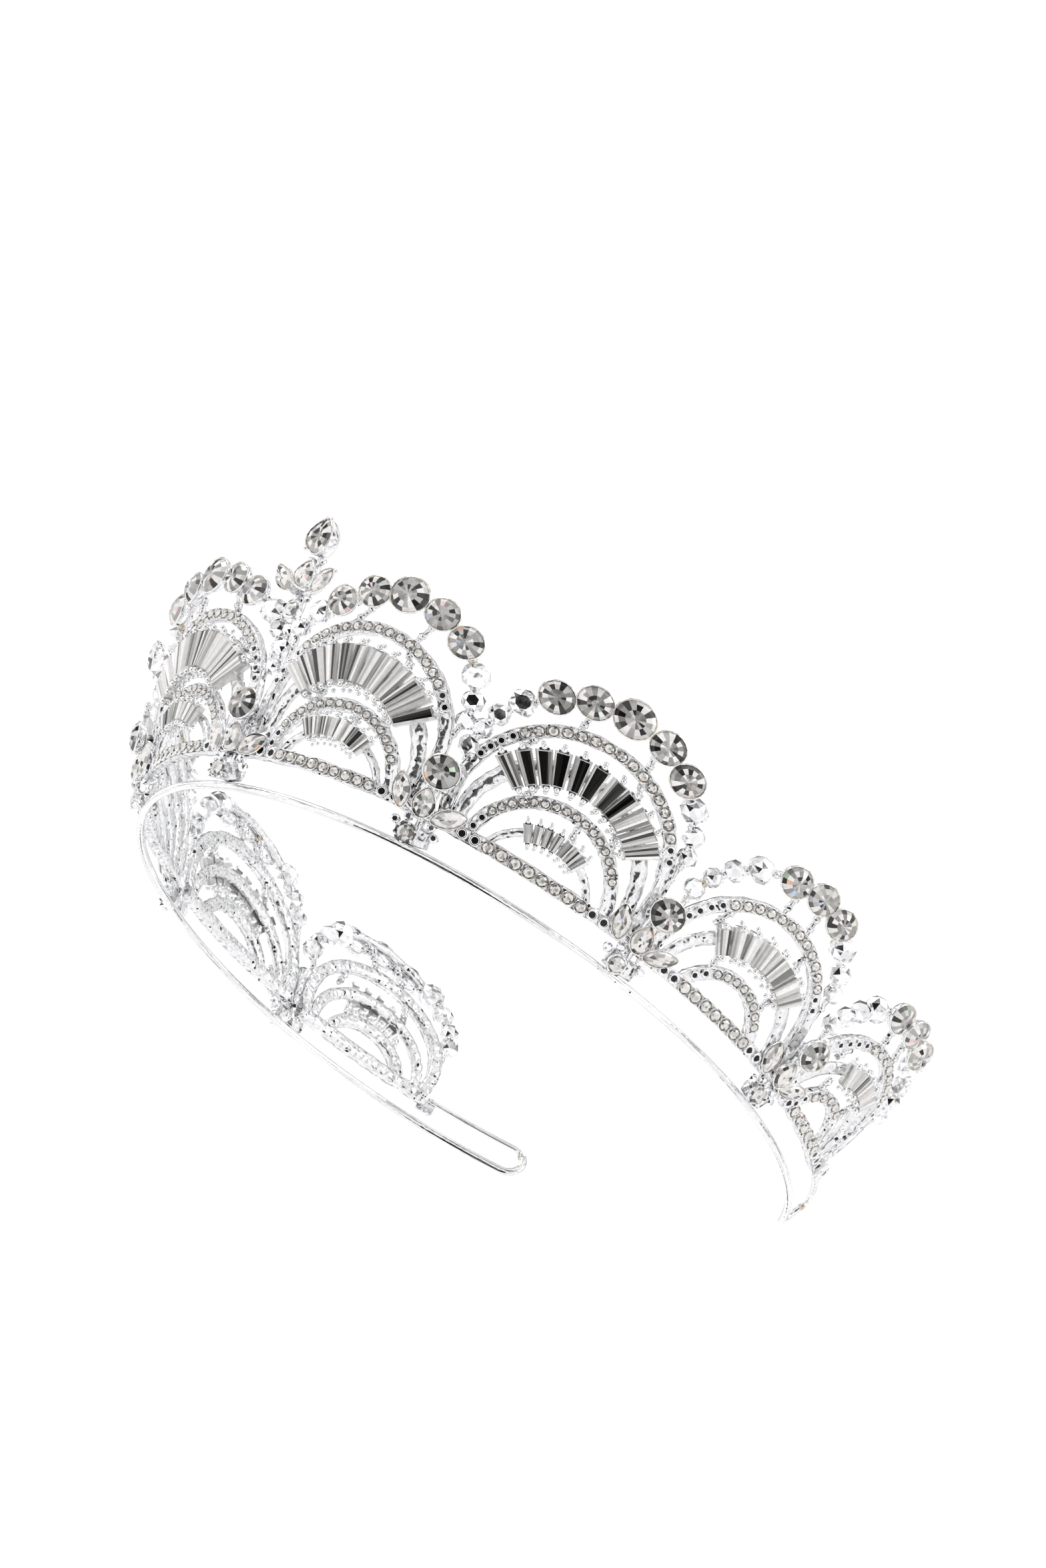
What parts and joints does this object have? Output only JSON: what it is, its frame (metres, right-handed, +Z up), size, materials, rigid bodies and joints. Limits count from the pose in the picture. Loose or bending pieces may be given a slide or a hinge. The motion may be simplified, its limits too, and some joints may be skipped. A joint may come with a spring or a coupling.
{
  "type": "bridal tiara",
  "caption": "Horseshoe head band carrying openwork art-deco fan castings with crystal crests, flower clusters at the joins and a tall centre spire.",
  "frame": {"origin": "middle of the footprint, on the surface that the head band rests on", "axes": "+Z up with the head band lying flat, the front of the tiara faces -Y, X runs from side to side and x = 0 is the plane of symmetry"},
  "size_m": [0.1642, 0.1512, 0.0532],
  "materials": {
    "silver": "bright polished silver plate over a lightly textured casting",
    "crystal": "facetted clear rhinestone with a foiled back, faint warm tint",
    "dark_crystal": "facetted clear baguette with a foiled back that mirrors dark and light bands"
  },
  "bodies": {
    "root": {"head_band": "silver", "fan_frame_right_1": "silver", "crest_stones_right_1": "crystal", "baguette_fan_right_1": "dark_crystal", "bar_stones_right_1": "crystal", "small_baguette_fan_right_1": "dark_crystal", "fan_frame_right_2": "silver", "crest_stones_right_2": "crystal", "baguette_fan_right_2": "dark_crystal", "bar_stones_right_2": "crystal", "small_baguette_fan_right_2": "dark_crystal", "fan_frame_right_3": "silver", "crest_stones_right_3": "crystal", "baguette_fan_right_3": "dark_crystal", "bar_stones_right_3": "crystal", "fan_frame_right_4": "silver", "crest_stones_right_4": "crystal", "baguette_fan_right_4": "dark_crystal", "bar_stones_right_4": "crystal", "end_tab_right": "silver", "return_wire_right": "silver", "fan_frame_left_1": "silver", "crest_stones_left_1": "crystal", "baguette_fan_left_1": "dark_crystal", "bar_stones_left_1": "crystal", "small_baguette_fan_left_1": "dark_crystal", "fan_frame_left_2": "silver", "crest_stones_left_2": "crystal", "baguette_fan_left_2": "dark_crystal", "bar_stones_left_2": "crystal", "small_baguette_fan_left_2": "dark_crystal", "fan_frame_left_3": "silver", "crest_stones_left_3": "crystal", "baguette_fan_left_3": "dark_crystal", "bar_stones_left_3": "crystal", "fan_frame_left_4": "silver", "crest_stones_left_4": "crystal", "baguette_fan_left_4": "dark_crystal", "bar_stones_left_4": "crystal", "end_tab_left": "silver", "return_wire_left": "silver", "cluster_centre": "silver", "cluster_crystal_centre": "crystal", "cluster_right_1": "silver", "cluster_crystal_right_1": "crystal", "cluster_right_2": "silver", "cluster_crystal_right_2": "crystal", "cluster_right_3": "silver", "cluster_crystal_right_3": "crystal", "cluster_left_1": "silver", "cluster_crystal_left_1": "crystal", "cluster_left_2": "silver", "cluster_crystal_left_2": "crystal", "cluster_left_3": "silver", "cluster_crystal_left_3": "crystal", "spire": "silver", "spire_crystal": "crystal"}
  },
  "joints": []
}
